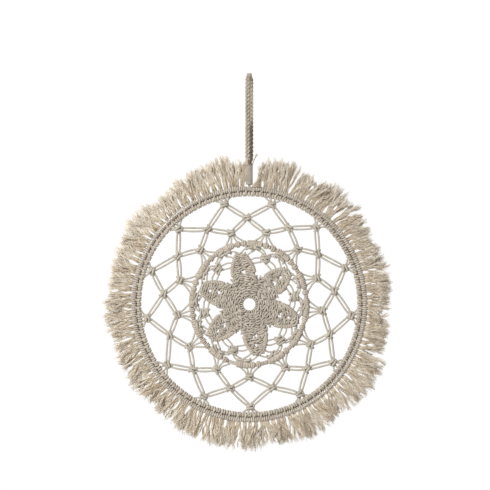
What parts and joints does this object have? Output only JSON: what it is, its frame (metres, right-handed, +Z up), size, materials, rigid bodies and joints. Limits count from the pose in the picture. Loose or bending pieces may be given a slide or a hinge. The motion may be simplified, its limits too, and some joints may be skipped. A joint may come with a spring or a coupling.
{
  "type": "dream catcher",
  "caption": "Round macrame dream catcher: cord-covered wire hoop, open knotted web, inner ring with petal rosette, brushed fringe and a plaited hanging loop.",
  "frame": {"origin": "inside of the hanging loop's crown, where a hook or nail bears", "axes": "+Z up along the hanger, -Y out of the front face, +X to the right seen from the front"},
  "size_m": [0.312, 0.035, 0.4115],
  "materials": {
    "hanger_cord": "plaited cotton cord",
    "whipping_cord": "close-wound cotton cord",
    "rim_cord": "wrapped and knotted cotton cord",
    "web_cord": "twisted cotton cord",
    "rosette_cord": "knotted cotton cord",
    "fringe_cord": "brushed-out cotton",
    "hoop_wire": "plain drawn wire"
  },
  "bodies": {
    "loop": {"hanging_loop": "hanger_cord"},
    "foot": {"cut_tails": "hanger_cord", "whipping": "whipping_cord", "hanger_hitch": "hanger_cord"},
    "hoop": {"hoop_wire": "hoop_wire", "outer_wrap_row": "rim_cord", "knot_row_filler": "rim_cord", "inner_knot_row": "rim_cord", "inner_ring_cords": "rim_cord", "inner_ring_wrap": "rim_cord", "rosette_middle": "rosette_cord", "web_section_01": "web_cord", "web_section_02": "web_cord", "web_section_03": "web_cord", "web_section_04": "web_cord", "web_section_05": "web_cord", "web_section_06": "web_cord", "web_section_07": "web_cord", "web_section_08": "web_cord", "web_section_09": "web_cord", "web_section_10": "web_cord", "web_section_11": "web_cord", "web_section_12": "web_cord", "web_section_13": "web_cord", "lace_1": "web_cord", "lace_2": "web_cord", "lace_3": "web_cord", "lace_4": "web_cord", "lace_5": "web_cord", "lace_6": "web_cord", "petal_1": "rosette_cord", "petal_2": "rosette_cord", "petal_3": "rosette_cord", "petal_4": "rosette_cord", "petal_5": "rosette_cord", "petal_6": "rosette_cord", "hitch_bars_1": "rosette_cord", "hitch_bars_2": "rosette_cord", "hitch_bars_3": "rosette_cord", "hitch_bars_4": "rosette_cord", "hitch_bars_5": "rosette_cord", "hitch_bars_6": "rosette_cord", "fringe_01": "fringe_cord", "fringe_02": "fringe_cord", "fringe_03": "fringe_cord", "fringe_04": "fringe_cord", "fringe_05": "fringe_cord", "fringe_06": "fringe_cord", "fringe_07": "fringe_cord", "fringe_08": "fringe_cord", "fringe_09": "fringe_cord", "fringe_10": "fringe_cord", "fringe_11": "fringe_cord", "fringe_12": "fringe_cord", "fringe_13": "fringe_cord"}
  },
  "joints": [
    {"name": "loop_twist", "type": "hinge", "parent": "loop", "child": "foot", "pos_m": [0, 0, -0.0984], "axis": [0, 0, 1], "range_deg": [-90, 90]},
    {"name": "hoop_tip", "type": "hinge", "parent": "foot", "child": "hoop", "pos_m": [0, 0, -0.1233], "axis": [1, 0, 0], "range_deg": [-90, 90]}
  ]
}
